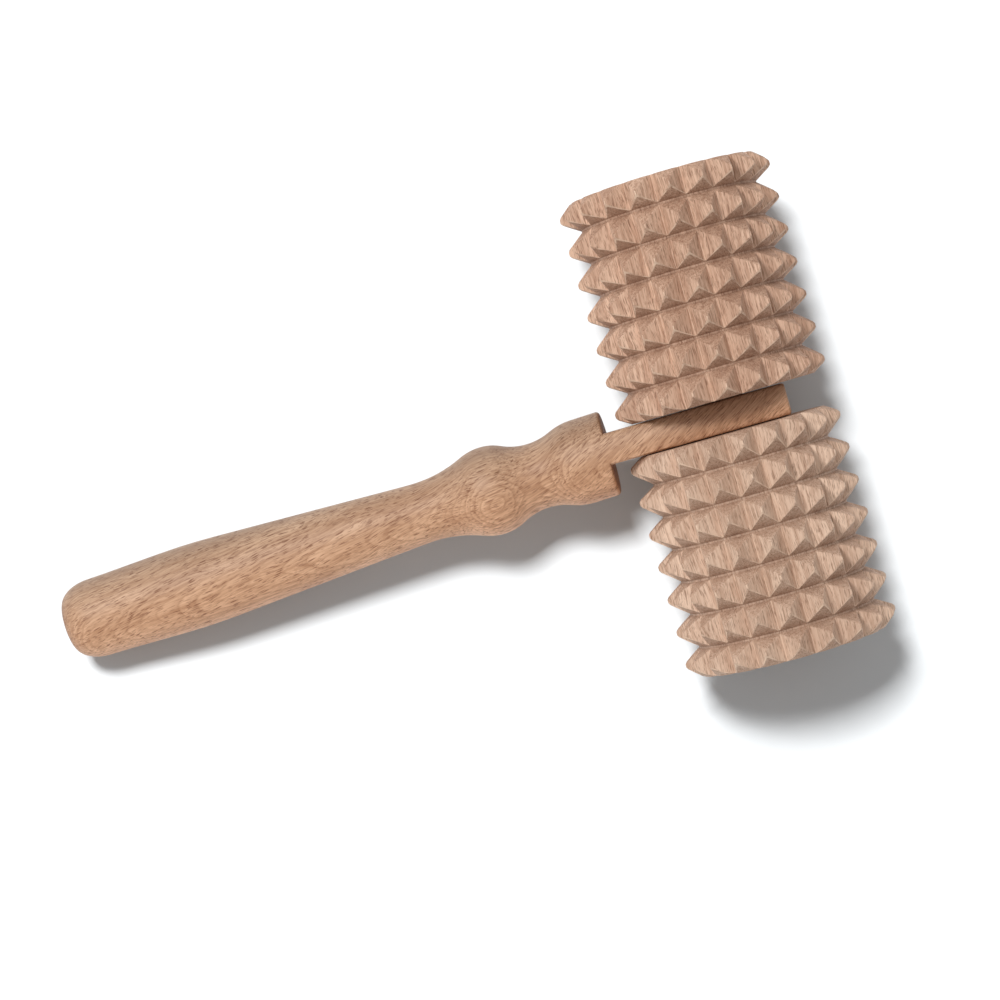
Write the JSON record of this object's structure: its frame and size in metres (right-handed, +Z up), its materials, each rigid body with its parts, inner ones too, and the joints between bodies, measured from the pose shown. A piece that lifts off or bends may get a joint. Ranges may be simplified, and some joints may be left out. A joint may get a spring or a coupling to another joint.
{
  "type": "spiked hand roller",
  "caption": "T-shaped wooden hand tool: a turned handle with a flat tang that carries a dowel, and a freely turning spiked roller on each side of the tang.",
  "frame": {"origin": "on the surface that the tool lies on, under the middle of its bounding box", "axes": "+X from the butt of the handle to the rollers, +Y along the dowel to the left roller as the handle's holder sees it, +Z up from the surface that the tool lies on"},
  "size_m": [0.2413, 0.1452, 0.0647],
  "materials": {
    "handle_beech": "turned and sanded beech, warm orange tan, thin satin oil",
    "left_roller_beech": "raw milled beech, pinkish brown, matt",
    "right_roller_beech": "raw milled beech, pale, matt",
    "dowel_beech": "raw beech dowel, matt",
    "cap_beech": "turned beech, end grain on its faces, matt"
  },
  "bodies": {
    "handle_and_axle": {"handle": "handle_beech", "axle": "dowel_beech", "end_cap_left": "cap_beech", "end_cap_right": "cap_beech"},
    "left_roller": {"roller_left": "left_roller_beech"},
    "right_roller": {"roller_right": "right_roller_beech"}
  },
  "joints": [
    {"name": "left_roller_spin", "type": "hinge", "parent": "handle_and_axle", "child": "left_roller", "pos_m": [0.08831, 0, 0.03234], "axis": [0, 1, 0], "continuous": true},
    {"name": "right_roller_spin", "type": "hinge", "parent": "handle_and_axle", "child": "right_roller", "pos_m": [0.08831, 0, 0.03234], "axis": [0, 1, 0], "continuous": true}
  ]
}
